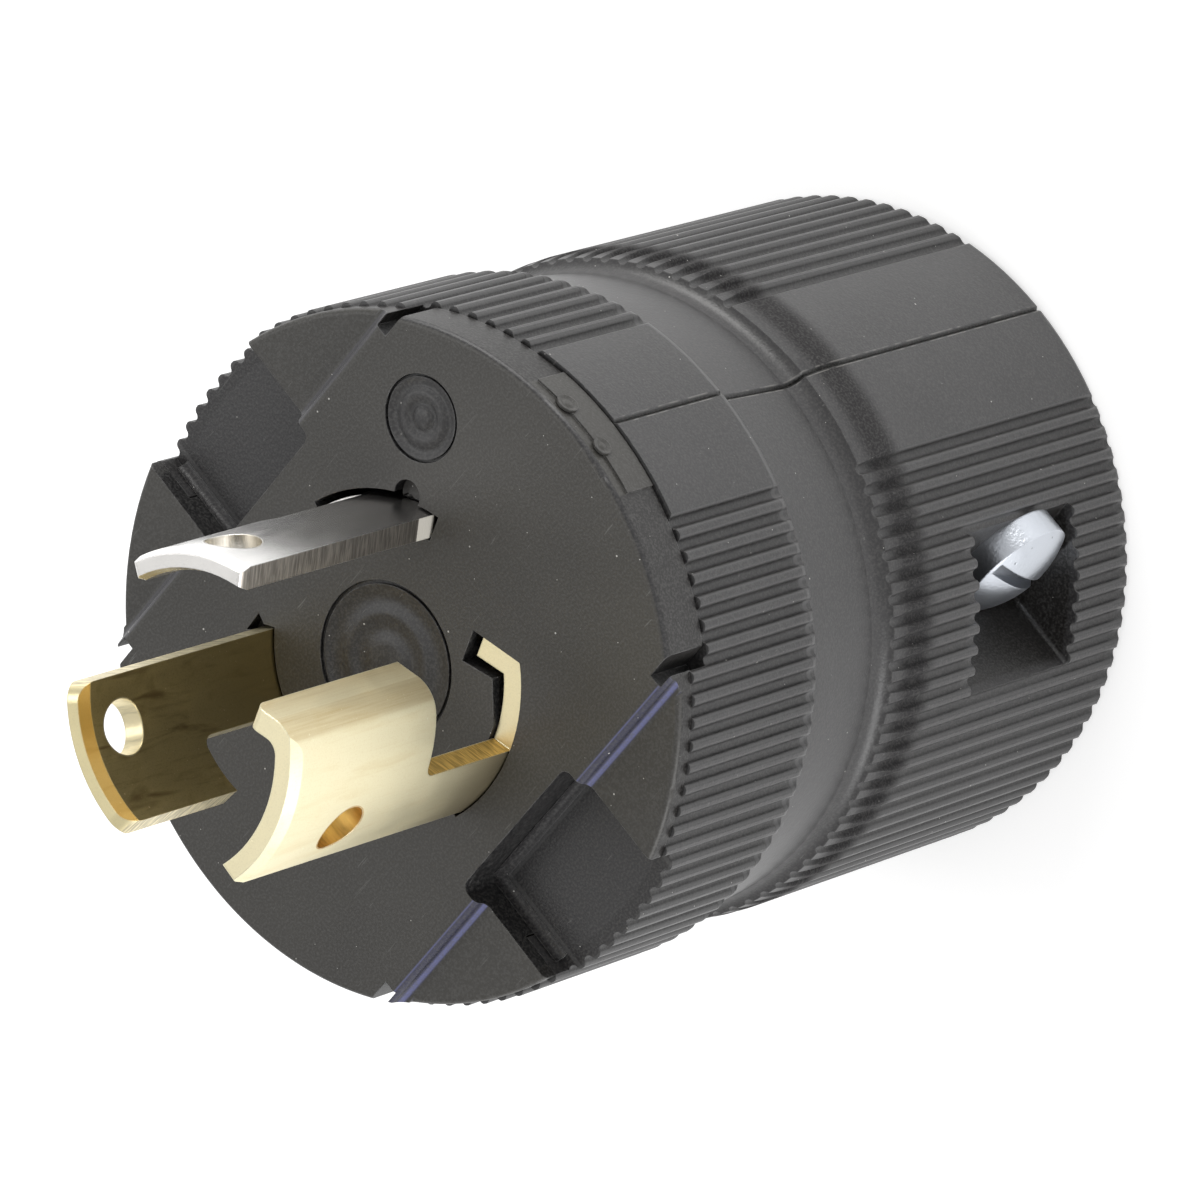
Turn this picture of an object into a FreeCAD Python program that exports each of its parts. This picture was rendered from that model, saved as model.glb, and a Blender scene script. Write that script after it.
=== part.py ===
import FreeCAD
import Part
import Sketcher
import math
import os

# Locking power plug: a round black nylon body in two halves that close round
# a core at the front. The core carries three blades that lock by a twist:
# nickel plated neutral, brass line, and the hooked brass ground.
# Frame: +Z runs along the plug from the cord end (Z = 0) to the blades.
# X lies in the joint plane of the two halves, and Y is square to that plane.

doc = FreeCAD.newDocument("locking_plug")
sheet = doc.addObject("Spreadsheet::Sheet", "Sizes")

DRIVING_SIZES = (
    # body and its outline
    ("body_length", 43.0),
    ("body_radius", 19.05),
    ("rear_step", 0.35),
    ("front_grip", 12.3),
    ("rear_grip", 20.0),
    ("front_fall", 0.7),
    ("front_fall_length", 1.3),
    ("rear_fall", 0.2),
    ("rear_fall_length", 2.5),
    ("neck_depth", 1.25),
    ("neck_foot", 23.6),
    ("edge_round", 0.6),
    # inside of the body
    ("bore_radius", 8.4),
    ("bore_mouth", 4.2),
    ("grip_step", 0.5),
    ("ridge_height", 0.8),
    ("ridge_pitch", 2.8),
    ("wall_thickness", 2.75),
    ("cavity_floor", 16.5),
    ("funnel", 1.5),
    ("lip_rise", 1.2),
    ("lip_height", 2.0),
    ("lip_drop", 7.0),
    ("ledge_rise", 1.7),
    ("ledge_height", 1.5),
    # grip ribs along the body
    ("rib_pitch", 3.75),
    ("rib_steps", 19),
    ("front_rib_depth", 0.42),
    ("rear_rib_depth", 0.4),
    ("rib_groove_half", 0.6),
    ("seam_bevel", 0.18),
    # core that carries the blades
    ("core_inset", 0.25),
    ("core_band", 3.1),
    ("core_round", 0.32),
    ("shelf_width", 6.3),
    ("rim_width", 6.5),
    ("shelf_drop", 0.8),
    ("shelf_thickness", 1.0),
    ("ramp_half", 0.5),
    ("spigot_gap", 0.4),
    ("collar_gap", 0.08),
    ("spigot_end", 24.6),
    ("rim_gap", 0.15),
    ("relief_reach", 5.95),
    ("relief_width", 0.8),
    ("band_pad_angle", 12.0),
    ("band_pad_rise", 0.12),
    ("band_pad_drop", 0.9),
    ("centre_disc_radius", 4.44),
    ("side_disc_radius", 2.4),
    ("side_disc_x", 11.65),
    ("side_disc_y", 7.25),
    ("disc_depth", 0.25),
    # lugs of the halves in the notches of the core
    ("notch_half", 5.1),
    ("notch_reach", 7.55),
    ("notch_depth", 6.6),
    ("notch_corner", 0.55),
    ("lug_recess", 3.0),
    ("lug_thickness", 3.0),
    ("fit_gap", 0.15),
    # blades
    ("blade_outer", 8.95),
    ("blade_thickness", 1.25),
    ("blade_reach", 15.8),
    ("ground_reach", 18.75),
    ("lock_height", 7.05),
    ("lock_floor", 0.3),
    ("lock_round", 0.7),
    ("neck_span", 34.0),
    ("hole_angle", 21.3),
    ("neutral_span", 52.3),
    ("line_span", 60.0),
    ("ground_span", 66.0),
    ("neutral_turn", 45.85),
    ("line_turn", 157.0),
    ("ground_turn", -73.0),
    ("hole_height", 12.8),
    ("hole_radius", 1.5),
    ("side_slant", 1.9),
    ("neutral_corner", 0.3),
    ("line_corner", 1.0),
    ("ground_corner", 0.25),
    ("bevel_depth", 0.26),
    ("bevel_length", 0.72),
    ("hook_length", 2.7),
    ("hook_heading", 181.8),
    ("hook_root", 28.3),
    ("hook_bend", 2.05),
    ("hook_inner_bend", 0.9),
    ("hook_base_bend", 1.0),
    ("hook_tip_round", 0.7),
    ("slot_gap", 0.1),
    ("slot_end_angle", 0.8),
    ("hook_room", 0.55),
    ("neutral_slot_room", 0.4),
    ("neutral_slot_start", -10.0),
    ("slot_relief_angle", -12.85),
    ("slot_relief_radius", 0.85),
    ("slot_nick_depth", 0.9),
    # terminals
    ("tail_step", 0.3),
    ("tail_half", 3.75),
    ("terminal_height", 29.2),
    ("chamber_top", 33.6),
    ("chamber_gap", 0.7),
    ("nut_room_gap", 0.3),
    ("plate_side", 7.4),
    ("plate_thickness", 1.2),
    ("terminal_nut_side", 6.4),
    ("terminal_nut_thickness", 2.2),
    ("terminal_head_radius", 3.2),
    ("terminal_head_height", 2.1),
    ("terminal_shank_radius", 1.95),
    ("terminal_gap", 0.2),
    ("thread_gap", 0.06),
    # back plate of the core
    ("retainer_gap", 0.1),
    ("retainer_thickness", 1.8),
    ("wire_hole_radius", 1.8),
    # assembly screws and their nuts
    ("screw_offset", 3.6),
    ("pocket_height", 9.9),
    ("pocket_half_width", 3.55),
    ("pocket_half_length", 4.8),
    ("pocket_corner", 0.3),
    ("pocket_inset", 8.75),
    ("shank_radius", 1.75),
    ("head_radius", 3.4),
    ("head_height", 2.5),
    ("head_gap", 0.1),
    ("rim_share", 0.6),
    ("screw_end_length", 0.6),
    ("nut_side", 6.7),
    ("nut_thickness", 2.8),
    ("nut_depth", 5.2),
    ("drive_width", 0.75),
    ("drive_depth", 0.9),
    ("drive_turn", 69.5),
)


class Size:
    """A length or angle that knows its value and the sheet formula behind it."""

    def __init__(self, value, formula):
        self.value = value
        self.formula = formula

    def joined(self, other, value, sign, swapped=False):
        text = other.formula if isinstance(other, Size) else repr(other)
        pair = (text, self.formula) if swapped else (self.formula, text)
        return Size(value, "(%s %s %s)" % (pair[0], sign, pair[1]))

    def __add__(self, other):
        return self.joined(other, self.value + plain(other), "+")

    def __sub__(self, other):
        return self.joined(other, self.value - plain(other), "-")

    def __rsub__(self, other):
        return self.joined(other, plain(other) - self.value, "-", True)

    def __mul__(self, other):
        return self.joined(other, self.value * plain(other), "*")

    def __truediv__(self, other):
        return self.joined(other, self.value / plain(other), "/")

    def __neg__(self):
        return self * -1


def plain(size):
    """The bare number of a size or of a number."""
    return size.value if isinstance(size, Size) else float(size)


def cosine(angle):
    return Size(math.cos(math.radians(angle.value)), "cos(%s)" % angle.formula)


def sine(angle):
    return Size(math.sin(math.radians(angle.value)), "sin(%s)" % angle.formula)


def polar(radius, angle):
    """The two coordinates of a point given by radius and angle."""
    return (radius * cosine(angle), radius * sine(angle))


class SizeTable:
    """All driving sizes as attributes, each one bound to its cell."""


size = SizeTable()
for row, (alias, value) in enumerate(DRIVING_SIZES, start=1):
    sheet.set("A%d" % row, alias)
    sheet.set("B%d" % row, str(value))
    sheet.setAlias("B%d" % row, alias)
    setattr(size, alias, Size(value, "Sizes." + alias))
doc.recompute()

# heights and radii that follow from the driving sizes
rear_radius = size.body_radius - size.rear_step
neck_front = size.body_radius - size.front_fall
neck_rear = size.body_radius - size.neck_depth
front_edge = size.body_length - size.front_grip
band_floor = size.body_length - size.core_band
shelf_top = size.body_length - size.shelf_drop
shelf_floor = shelf_top - size.shelf_thickness
lip_top = size.body_length - size.lip_drop
lip_floor = lip_top - size.lip_height
notch_floor = size.body_length - size.notch_depth
lug_top = size.body_length - size.lug_recess
retainer_floor = size.spigot_end - size.retainer_thickness
ledge_floor = retainer_floor - size.ledge_height
grip_radius = size.bore_radius - size.grip_step
cavity_radius = size.body_radius - size.wall_thickness
lip_radius = cavity_radius - size.lip_rise
ledge_radius = cavity_radius - size.ledge_rise
spigot_radius = cavity_radius - size.spigot_gap
collar_radius = cavity_radius - size.collar_gap
retainer_radius = spigot_radius - size.retainer_gap
core_radius = size.body_radius - size.core_inset
shelf_chord = size.body_radius - size.shelf_width
rim_chord = size.body_radius - size.rim_width
relief_start = size.body_radius - size.relief_reach
notch_wall = size.body_radius - size.notch_reach
blade_inner = size.blade_outer - size.blade_thickness
blade_foot = size.chamber_top - 0.6
slot_depth = size.body_length - blade_foot + 0.2
tail_top = size.chamber_top - 0.2
tail_inner = blade_inner - size.tail_step
tail_outer = tail_inner + size.blade_thickness
terminal_nut_face = tail_inner - size.terminal_nut_thickness
plate_outer = spigot_radius - size.terminal_head_height - size.terminal_gap
plate_start = plate_outer - size.plate_thickness
terminal_shank_length = plate_outer - terminal_nut_face - 0.1
wire_hole_reach = (tail_outer + plate_start) / 2
screw_x = size.bore_radius + size.screw_offset
screw_z = size.pocket_height - size.pocket_half_length + size.head_radius + size.head_gap
pocket_floor = size.body_radius - size.pocket_inset
nut_end = size.nut_depth + size.nut_thickness
screw_length = pocket_floor + nut_end + size.screw_end_length
beyond_body = size.body_radius + 1.0
above_face = size.body_length + 1.0


# drawing helpers

def new_body(label):
    body = doc.addObject("PartDesign::Body", label)
    body.Label = label
    return body


def turn_about_axis(body, angle):
    """Turns the whole body about Z by a size from the sheet."""
    upright = FreeCAD.Vector(0, 0, 1)
    body.Placement = FreeCAD.Placement(FreeCAD.Vector(), FreeCAD.Rotation(upright, angle.value))
    body.setExpression(".Placement.Rotation.Yaw", angle.formula)


def new_sketch(body, name, plane, offset=None, turn=None, tilt=None):
    """A sketch on one of the body's own planes: raised, turned in it, or tilted about Z."""
    sketch = body.newObject("Sketcher::SketchObject", name)
    origin_plane = [part for part in body.Origin.OriginFeatures if part.Role == plane][0]
    sketch.AttachmentSupport = (origin_plane, [""])
    sketch.MapMode = "FlatFace"
    raised = FreeCAD.Vector(0, 0, plain(offset or 0))
    spin = FreeCAD.Rotation(FreeCAD.Vector(0, 0, 1), plain(turn or 0))
    if tilt is not None:
        spin = FreeCAD.Rotation(FreeCAD.Vector(0, 1, 0), plain(tilt))
    sketch.AttachmentOffset = FreeCAD.Placement(raised, spin)
    if offset is not None:
        sketch.setExpression(".AttachmentOffset.Base.z", offset.formula)
    if turn is not None:
        sketch.setExpression(".AttachmentOffset.Rotation.Yaw", turn.formula)
    if tilt is not None:
        sketch.setExpression(".AttachmentOffset.Rotation.Pitch", tilt.formula)
    return sketch


def fix(sketch, kind, geometry, end, value):
    """One dimension of a sketch, bound to its formula."""
    places = (geometry,) if end is None else (geometry, end)
    number = sketch.addConstraint(Sketcher.Constraint(kind, *places, plain(value)))
    sketch.setExpression("Constraints[%d]" % number, value.formula)


def fix_point(sketch, geometry, end, point):
    """Both coordinates of a sketch point; a bare 0 puts it on the axis."""
    for kind, value, axis in (("DistanceX", point[0], -2), ("DistanceY", point[1], -1)):
        if isinstance(value, Size):
            fix(sketch, kind, geometry, end, value)
        else:
            sketch.addConstraint(Sketcher.Constraint("PointOnObject", geometry, end, axis))


def flat_vector(point):
    return FreeCAD.Vector(plain(point[0]), plain(point[1]), 0)


def bent_edge(start, finish, bend):
    """An arc between two points; a positive bend has its centre on the left."""
    radius = abs(bend.value)
    chord = finish - start
    middle = (start + finish) * 0.5
    rise = math.sqrt(max(radius ** 2 - chord.Length ** 2 / 4, 0))
    left = FreeCAD.Vector(-chord.y, chord.x, 0).normalize()
    side = 1 if bend.value > 0 else -1
    centre = middle + left * rise * side
    ends = (start, finish) if side > 0 else (finish, start)
    angles = [math.atan2(end.y - centre.y, end.x - centre.x) for end in ends]
    if angles[1] < angles[0]:
        angles[1] += 2 * math.pi
    ring = Part.Circle(centre, FreeCAD.Vector(0, 0, 1), radius)
    return Part.ArcOfCircle(ring, angles[0], angles[1])


def outline(sketch, points):
    """A closed outline; a third entry of a point bends the edge that leaves it."""
    first = sketch.GeometryCount
    count = len(points)
    ends = []
    for index, point in enumerate(points):
        start = flat_vector(point)
        finish = flat_vector(points[(index + 1) % count])
        bend = point[2] if len(point) > 2 else None
        edge = Part.LineSegment(start, finish) if bend is None else bent_edge(start, finish, bend)
        sketch.addGeometry(edge, False)
        ends.append((2, 1) if bend is not None and bend.value < 0 else (1, 2))
    for index, point in enumerate(points):
        following = (index + 1) % count
        joined = Sketcher.Constraint("Coincident", first + index, ends[index][1],
                                     first + following, ends[following][0])
        sketch.addConstraint(joined)
        fix_point(sketch, first + index, ends[index][0], point)
        if len(point) > 2:
            bend = point[2] if point[2].value > 0 else -point[2]
            fix(sketch, "Radius", first + index, None, bend)


def rectangle(sketch, low_x, high_x, low_y, high_y):
    outline(sketch, [(low_x, low_y), (high_x, low_y), (high_x, high_y), (low_x, high_y)])


def circle(sketch, centre, radius):
    ring = Part.Circle(flat_vector(centre), FreeCAD.Vector(0, 0, 1), radius.value)
    number = sketch.addGeometry(ring, False)
    fix_point(sketch, number, 3, centre)
    fix(sketch, "Radius", number, None, radius)


def ring_sector(sketch, inner, outer, start, finish):
    """A piece of a ring between two radii and two angles."""
    outside = polar(outer, start)
    inside = polar(inner, finish)
    outline(sketch, [(outside[0], outside[1], outer), polar(outer, finish),
                     (inside[0], inside[1], -inner), polar(inner, start)])


def extrude(body, kind, name, sketch, length=None, upward=False, both=False):
    """A pad or pocket of a sketch, right through the body when no length is given."""
    feature = body.newObject("PartDesign::" + kind, name)
    feature.Profile = sketch
    feature.Reversed = upward
    feature.Midplane = both
    if length is None:
        feature.Type = "ThroughAll"
    else:
        feature.Length = length.value
        feature.setExpression("Length", length.formula)
    sketch.Visibility = False
    return feature


def revolve(body, kind, name, sketch, angle=360.0, backward=False):
    """A revolved solid or groove about the sketch's upright axis."""
    feature = body.newObject("PartDesign::" + kind, name)
    feature.Profile = sketch
    feature.ReferenceAxis = (sketch, ["V_Axis"])
    feature.Angle = angle
    feature.Reversed = backward
    sketch.Visibility = False
    return feature


def edges_where(feature, wanted):
    """Names of the edges whose start, middle and end all pass the test."""
    doc.recompute()
    names = []
    for index, edge in enumerate(feature.Shape.Edges, start=1):
        low = edge.FirstParameter
        high = edge.LastParameter
        samples = [edge.valueAt(place) for place in (low, (low + high) / 2, high)]
        if all(wanted(point) for point in samples):
            names.append("Edge%d" % index)
    return names


def dress(body, kind, name, feature, names, amount):
    """A fillet or chamfer of the named edges, bound to its size."""
    dressed = body.newObject("PartDesign::" + kind, name)
    dressed.Base = (feature, names)
    label = "Radius" if kind == "Fillet" else "Size"
    setattr(dressed, label, amount.value)
    dressed.setExpression(label, amount.formula)
    return dressed


def near(value, target):
    return abs(value - plain(target)) < 1e-3


def soft_bend(along, rise):
    """The radius of an arc that starts along one direction and rises off it."""
    return (along * along + rise * rise) / (rise * 2)


# housing halves: wall with cavity, cord bore, lug, ribs, screw pocket and nut slot

def wall_section():
    """Half of the wall cut at the joint plane, from the rear of the bore round to it again."""
    ridges = []
    ridge_half = size.ridge_pitch * 0.35
    bore_top = size.cavity_floor - size.funnel
    for step in range(3):
        peak = bore_top - size.ridge_pitch * (step + 0.7)
        ridges.append((grip_radius, peak + ridge_half))
        ridges.append((grip_radius - size.ridge_height, peak))
        ridges.append((grip_radius, peak - ridge_half))
    half_fall = size.front_fall / 2
    half_length = size.front_fall_length / 2
    front_bend = soft_bend(half_length, half_fall)
    rear_bend = soft_bend(size.rear_fall_length, size.rear_fall)
    shoulder = rear_radius - size.rear_fall
    shoulder_top = size.rear_grip + size.rear_fall_length
    neck_bend = soft_bend(size.neck_foot - shoulder_top, shoulder - neck_rear)
    outside = [(size.bore_radius, 0),
               (rear_radius, 0),
               (rear_radius, size.rear_grip, rear_bend),
               (shoulder, shoulder_top, -neck_bend),
               (neck_rear, size.neck_foot),
               (neck_front, front_edge - size.front_fall_length, -front_bend),
               (neck_front + half_fall, front_edge - half_length, front_bend),
               (size.body_radius, front_edge),
               (size.body_radius, shelf_floor)]
    inside = [(cavity_radius, shelf_floor),
              (cavity_radius, lip_top),
              (lip_radius, lip_top),
              (lip_radius, lip_floor),
              (cavity_radius, lip_floor),
              (cavity_radius, retainer_floor),
              (ledge_radius, retainer_floor),
              (ledge_radius, ledge_floor),
              (cavity_radius, ledge_floor),
              (cavity_radius, size.cavity_floor),
              (grip_radius + size.funnel, size.cavity_floor),
              (grip_radius, bore_top)]
    mouth = [(grip_radius, size.bore_mouth), (size.bore_radius, size.bore_mouth)]
    return outside + inside + ridges + mouth


def on_rear_edge(point):
    return near(point.z, 0) and near(math.hypot(point.x, point.y), rear_radius)


def on_outer_seam(point):
    return near(point.y, 0) and abs(point.x) > cavity_radius.value + 0.9


def cut_grip_ribs(body, part, crest, depth, start, length):
    """Rounded grooves along one stretch of the body leave the soft grip ribs."""
    sketch = new_sketch(body, part + "_rib_groove_outline", "XY_Plane", start)
    half = size.rib_groove_half
    middle = depth / 2 - crest
    bend = soft_bend(half / 2, depth / 2)
    outline(sketch, [(half, -beyond_body), (half, -crest, -bend), (half / 2, middle, bend),
                     (-half / 2, middle, -bend), (-half, -crest), (-half, -beyond_body)])
    groove = extrude(body, "Pocket", part + "_rib_groove", sketch, length, upward=True)
    doc.recompute()
    upright = [item for item in body.Origin.OriginFeatures if item.Role == "Z_Axis"][0]
    for name, backward in (("_ribs_forward", False), ("_ribs_backward", True)):
        body.Tip = body.Group[-1]
        pattern = body.newObject("PartDesign::PolarPattern", part + name)
        pattern.Originals = [groove]
        pattern.Axis = (upright, [""])
        pattern.Reversed = backward
        pattern.Angle = size.rib_pitch.value * size.rib_steps.value
        pattern.setExpression("Angle", (size.rib_pitch * size.rib_steps).formula)
        pattern.Occurrences = int(size.rib_steps.value) + 1
        pattern.setExpression("Occurrences", (size.rib_steps + 1).formula)
        body.Tip = pattern
        doc.recompute()


def notch_outline(half, wall, far, side):
    """Three walls of a notch, or of the lug in it; side 1 opens toward positive Y."""
    corner = size.notch_corner
    bend = corner * side
    return [(-half, far * side), (-half, (wall + corner) * side, bend), (corner - half, wall * side),
            (half - corner, wall * side, bend), (half, (wall + corner) * side), (half, far * side)]


def housing_half(label):
    """One half of the body on the side of negative Y."""
    body = new_body(label)
    sketch = new_sketch(body, "wall_outline", "XZ_Plane")
    outline(sketch, wall_section())
    wall = revolve(body, "Revolution", "wall", sketch, 180.0, backward=True)
    rear = dress(body, "Fillet", "rear_round", wall, edges_where(wall, on_rear_edge), size.edge_round)
    seam = dress(body, "Chamfer", "seam_bevel", rear, edges_where(rear, on_outer_seam), size.seam_bevel)
    body.Tip = seam

    sketch = new_sketch(body, "rim_outline", "YZ_Plane")
    rectangle(sketch, -rim_chord, size.fit_gap, band_floor - size.rim_gap, above_face)
    extrude(body, "Pocket", "rim", sketch, both=True)

    sketch = new_sketch(body, "lug_gap_outline", "XZ_Plane")
    rectangle(sketch, -size.notch_half, size.notch_half, lug_top, above_face)
    extrude(body, "Pocket", "lug_gap", sketch, both=True)

    lug_half = size.notch_half - size.fit_gap
    sketch = new_sketch(body, "lug_outline", "XY_Plane", lug_top)
    outline(sketch, notch_outline(lug_half, notch_wall + size.fit_gap, cavity_radius + 1.0, -1))
    extrude(body, "Pad", "lug", sketch, size.lug_thickness, upward=True)

    cut_grip_ribs(body, "front", size.body_radius, size.front_rib_depth,
                  front_edge - size.front_fall_length, size.front_grip + 1.0)
    cut_grip_ribs(body, "rear", rear_radius, size.rear_rib_depth, None, size.neck_foot)

    half_width = size.pocket_half_width
    half_length = size.pocket_half_length
    corner = size.pocket_corner
    sketch = new_sketch(body, "screw_pocket_outline", "XZ_Plane", pocket_floor)
    left = screw_x - half_width
    right = screw_x + half_width
    bottom = size.pocket_height - half_length
    top = size.pocket_height + half_length
    outline(sketch, [(left + corner, bottom), (right - corner, bottom, corner),
                     (right, bottom + corner), (right, top - corner, corner),
                     (right - corner, top), (left + corner, top, corner),
                     (left, top - corner), (left, bottom + corner, corner)])
    extrude(body, "Pocket", "screw_pocket", sketch, upward=True)

    sketch = new_sketch(body, "screw_hole_outline", "XZ_Plane")
    hole = size.shank_radius + size.fit_gap
    circle(sketch, (screw_x, screw_z), hole)
    extrude(body, "Pocket", "screw_hole", sketch, upward=True)

    sketch = new_sketch(body, "screw_end_outline", "XZ_Plane")
    circle(sketch, (-screw_x, screw_z), hole)
    extrude(body, "Pocket", "screw_end", sketch, screw_length - pocket_floor + 0.5, upward=True)

    sketch = new_sketch(body, "nut_slot_outline", "XZ_Plane", size.nut_depth - size.fit_gap)
    nut_half = size.nut_side / 2 + size.fit_gap
    nut_top = size.cavity_floor + 0.5
    rectangle(sketch, -screw_x - nut_half, nut_half - screw_x, screw_z - nut_half, nut_top)
    extrude(body, "Pocket", "nut_slot", sketch, size.nut_thickness + size.fit_gap * 2, upward=True)
    return body


half_a = housing_half("housing_half_a")
half_b = housing_half("housing_half_b")
upright = FreeCAD.Vector(0, 0, 1)
half_b.Placement = FreeCAD.Placement(FreeCAD.Vector(), FreeCAD.Rotation(upright, 180))


# core: face disc with shelves, band, spigot, blade slots and terminal chambers

def cut_from_top(body, name, draw, depth):
    """A pocket from the main face down by a depth."""
    sketch = new_sketch(body, name + "_outline", "XY_Plane", size.body_length)
    draw(sketch)
    return extrude(body, "Pocket", name, sketch, depth)


def draw_ramps(sketch):
    """The space above both shelves, with the rounded step up to the main face."""
    inner = shelf_chord - size.ramp_half
    outer = shelf_chord + size.ramp_half
    middle = size.body_length - size.shelf_drop / 2
    half_drop = size.shelf_drop / 2
    bend = soft_bend(size.ramp_half, half_drop)
    outline(sketch, [(inner, size.body_length, -bend), (shelf_chord, middle, bend),
                     (outer, shelf_top), (outer, shelf_floor), (beyond_body, shelf_floor),
                     (beyond_body, above_face), (inner, above_face)])
    outline(sketch, [(-inner, size.body_length, bend), (-shelf_chord, middle, -bend),
                     (-outer, shelf_top), (-outer, shelf_floor), (-beyond_body, shelf_floor),
                     (-beyond_body, above_face), (-inner, above_face)])


def draw_reliefs(sketch):
    """Narrow notches where the straight step meets the round band."""
    low = rim_chord - size.relief_width
    for low_x, high_x in ((relief_start, beyond_body), (-beyond_body, -relief_start)):
        rectangle(sketch, low_x, high_x, low, rim_chord)
        rectangle(sketch, low_x, high_x, -rim_chord, -low)


def draw_notches(sketch):
    """Notches with rounded inner corners for the lugs of the halves."""
    for side in (1, -1):
        outline(sketch, notch_outline(size.notch_half, notch_wall, beyond_body, side))


def draw_discs(sketch):
    """Two bare round recesses in the main face."""
    circle(sketch, (0, 0), size.centre_disc_radius)
    circle(sketch, (size.side_disc_x, size.side_disc_y), size.side_disc_radius)


def face_core():
    body = new_body("face_core")
    groove_radius = lip_radius - size.fit_gap
    sketch = new_sketch(body, "core_outline", "XZ_Plane")
    outline(sketch, [(0, size.spigot_end),
                     (spigot_radius, size.spigot_end),
                     (spigot_radius, lip_floor - size.fit_gap),
                     (groove_radius, lip_floor - size.fit_gap),
                     (groove_radius, lip_top + size.fit_gap),
                     (collar_radius, lip_top + size.fit_gap),
                     (collar_radius, band_floor),
                     (core_radius, band_floor),
                     (core_radius, size.body_length - size.core_round, size.core_round),
                     (core_radius - size.core_round, size.body_length),
                     (0, size.body_length)])
    revolve(body, "Revolution", "disc_and_spigot", sketch)

    sketch = new_sketch(body, "ramps_outline", "YZ_Plane")
    draw_ramps(sketch)
    extrude(body, "Pocket", "ramps", sketch, both=True)

    # the band ends where the raised rims of the halves begin
    rim_share = rim_chord / collar_radius
    rim_angle = Size(math.degrees(math.asin(rim_share.value)), "asin(%s)" % rim_share.formula)
    rim_end = collar_radius * cosine(rim_angle)
    sketch = new_sketch(body, "rim_room_outline", "XY_Plane", shelf_floor)
    for side in (1, -1):
        edge = rim_chord * side
        far = beyond_body * side
        outline(sketch, [(-rim_end, edge), (-beyond_body, edge), (-beyond_body, far),
                         (beyond_body, far), (beyond_body, edge),
                         (rim_end, edge, collar_radius * side)])
    extrude(body, "Pocket", "rim_room", sketch, size.core_band)

    sketch = new_sketch(body, "shelf_outline", "XZ_Plane")
    outline(sketch, [(0, shelf_floor), (core_radius, shelf_floor),
                     (core_radius, shelf_top - size.core_round, size.core_round),
                     (core_radius - size.core_round, shelf_top), (0, shelf_top)])
    revolve(body, "Revolution", "shelf", sketch)

    sketch = new_sketch(body, "band_pad_outline", "XY_Plane", band_floor)
    pad_outer = core_radius + size.band_pad_rise
    ring_sector(sketch, spigot_radius, pad_outer, -size.band_pad_angle, size.band_pad_angle)
    extrude(body, "Pad", "band_pad", sketch, size.core_band - size.band_pad_drop)

    cut_from_top(body, "corner_reliefs", draw_reliefs, size.core_band)
    cut_from_top(body, "lug_notches", draw_notches, size.notch_depth)
    cut_from_top(body, "bare_discs", draw_discs, size.disc_depth)
    for blade, turn, span in (("neutral", size.neutral_turn, size.neutral_span),
                              ("line", size.line_turn, size.line_span),
                              ("ground", size.ground_turn, size.ground_span)):
        cut_slot(body, blade, turn, span)
        cut_chamber(body, blade, turn)
    return body


def cut_slot(body, blade, turn, span):
    """A curved slot that follows the blade, with the odd room each one has beside it."""
    sketch = new_sketch(body, blade + "_slot_outline", "XY_Plane", size.body_length, turn)
    outer = size.blade_outer + size.slot_gap
    inner = blade_inner - size.slot_gap
    low = -span / 2 - size.slot_end_angle
    high = span / 2 + size.slot_end_angle
    if blade == "ground":
        hook = hook_points(size.slot_gap, size.hook_room)
        outside = polar(outer, low)
        wide = polar(blade_inner - size.hook_room, size.hook_root - 2.0)
        root = polar(inner, size.hook_root / 4)
        outline(sketch, [(outside[0], outside[1], outer), polar(outer, span / 2), hook[0], hook[1],
                         wide, (root[0], root[1], -inner), polar(inner, low)])
    else:
        ring_sector(sketch, inner, outer, low, high)
    extrude(body, "Pocket", blade + "_slot", sketch, slot_depth)
    if blade == "neutral":
        room = size.blade_outer + size.neutral_slot_room
        sketch = new_sketch(body, "neutral_room_outline", "XY_Plane", size.body_length, turn)
        ring_sector(sketch, inner, room, size.neutral_slot_start, high)
        extrude(body, "Pocket", "neutral_room", sketch, slot_depth)
        sketch = new_sketch(body, "neutral_relief_outline", "XY_Plane", size.body_length, turn)
        circle(sketch, polar(room, size.slot_relief_angle), size.slot_relief_radius)
        extrude(body, "Pocket", "neutral_relief", sketch, slot_depth)
    if blade == "line":
        sketch = new_sketch(body, "line_nick_outline", "XY_Plane", size.body_length, turn)
        outline(sketch, [polar(outer + 0.45, low + 3.5), polar(outer - 0.3, low - 3.4),
                         polar(inner + 0.5, low + 2.3)])
        extrude(body, "Pocket", "line_nick", sketch, size.slot_nick_depth)


def hook_points(margin, room):
    """The two corners at the tip of the hook, with a margin ahead and room inside."""
    bend = polar(size.blade_outer + margin, size.ground_span / 2)
    along = polar(size.hook_length + margin + room, size.hook_heading)
    across = polar(size.blade_thickness + margin + room, size.hook_heading + 90.0)
    tip = (bend[0] + along[0], bend[1] + along[1])
    return tip, (tip[0] + across[0], tip[1] + across[1])


def cut_chamber(body, blade, turn):
    """A chamber for the terminal, open to the side and to the back plate."""
    sketch = new_sketch(body, blade + "_chamber_outline", "XY_Plane", size.spigot_end, turn)
    wide = size.plate_side / 2 + size.chamber_gap
    slim = size.terminal_nut_side / 2 + size.nut_room_gap
    start = terminal_nut_face - size.nut_room_gap
    step = tail_inner - size.fit_gap
    far = spigot_radius + 1.0
    outline(sketch, [(start, -slim), (step, -slim), (step, -wide), (far, -wide),
                     (far, wide), (step, wide), (step, slim), (start, slim)])
    extrude(body, "Pocket", blade + "_chamber", sketch, size.chamber_top - size.spigot_end, upward=True)


core = face_core()


# back plate of the core, with a wire hole behind each terminal

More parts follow.
